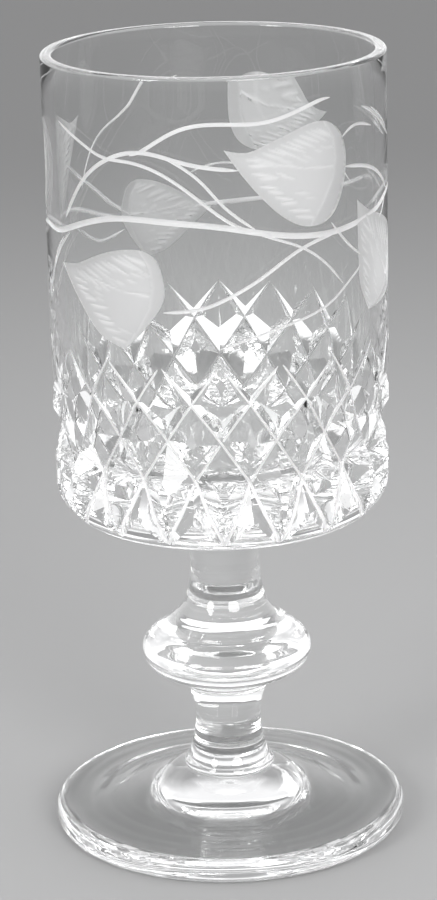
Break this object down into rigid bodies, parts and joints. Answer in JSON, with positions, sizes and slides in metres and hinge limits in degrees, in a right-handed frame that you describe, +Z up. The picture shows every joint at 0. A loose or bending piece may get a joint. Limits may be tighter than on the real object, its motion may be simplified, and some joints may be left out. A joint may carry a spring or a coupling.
{
  "type": "water goblet",
  "caption": "Stemmed water goblet in clear crystal: straight-sided bowl with diamond mitre cutting and engraved leaves, solid knopped stem and thick round foot, for serving water.",
  "frame": {"origin": "centre of the ring that the foot stands on", "axes": "+Z up along the stem's axis to the rim, -Y towards the engraved leaf at the front"},
  "size_m": [0.072, 0.072, 0.16],
  "materials": {
    "bowl_crystal": "clear polished crystal, mitre-cut below, matt engraved above",
    "stem_crystal": "clear fire-polished crystal",
    "foot_crystal": "clear fire-polished crystal"
  },
  "bodies": {
    "root": {"bowl": "bowl_crystal", "stem": "stem_crystal", "foot": "foot_crystal"}
  },
  "joints": []
}
